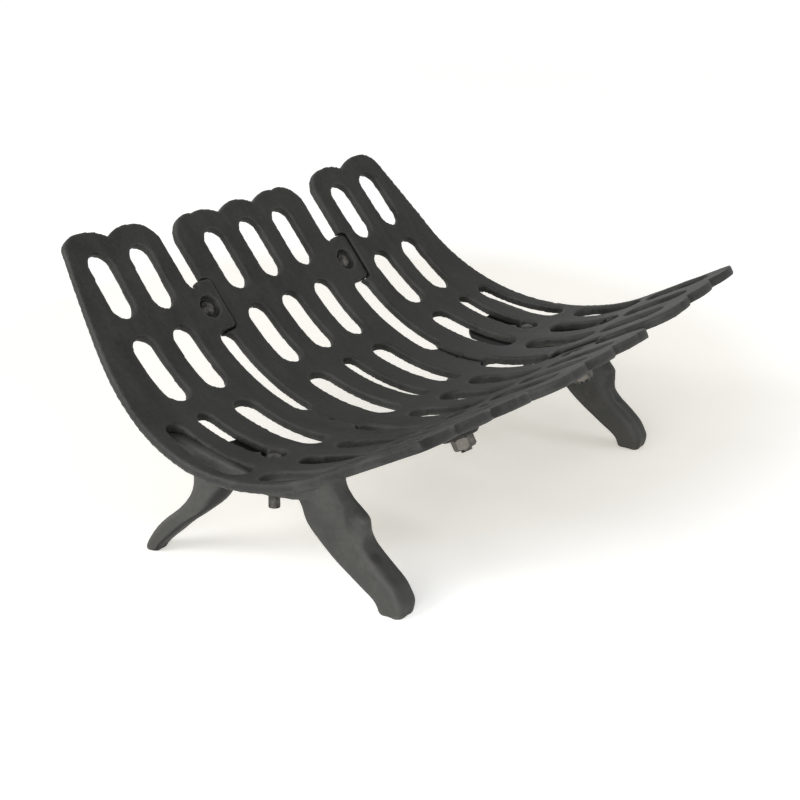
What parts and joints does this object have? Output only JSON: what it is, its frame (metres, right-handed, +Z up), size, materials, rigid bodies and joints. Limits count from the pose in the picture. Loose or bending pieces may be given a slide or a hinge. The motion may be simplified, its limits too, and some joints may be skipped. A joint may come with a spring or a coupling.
{
  "type": "log grate",
  "caption": "Log grate for a fireplace: a curved cradle of slotted cast-iron panels with scalloped ends, lapped and bolted together on arched, branch-like leg castings",
  "frame": {"origin": "on the floor, under the middle of the grate", "axes": "+X to the right as seen from the front, +Y to the back of the fireplace, +Z up"},
  "size_m": [0.4486, 0.3376, 0.2087],
  "materials": {
    "cast_iron": "matte black, fine sand-cast texture",
    "bolt_steel": "dull, heat-browned steel"
  },
  "bodies": {
    "root": {"left_panel": "cast_iron", "centre_panel": "cast_iron", "right_panel": "cast_iron", "left_leg_casting": "cast_iron", "right_leg_casting": "cast_iron", "rear_left_seam_bolt": "bolt_steel", "rear_right_seam_bolt": "bolt_steel", "front_left_seam_bolt": "bolt_steel", "front_right_seam_bolt": "bolt_steel", "left_leg_bolt": "bolt_steel", "right_leg_bolt": "bolt_steel", "rear_left_seam_nut": "bolt_steel", "rear_right_seam_nut": "bolt_steel", "front_left_seam_nut": "bolt_steel", "front_right_seam_nut": "bolt_steel", "left_leg_nut": "bolt_steel", "right_leg_nut": "bolt_steel"}
  },
  "joints": []
}
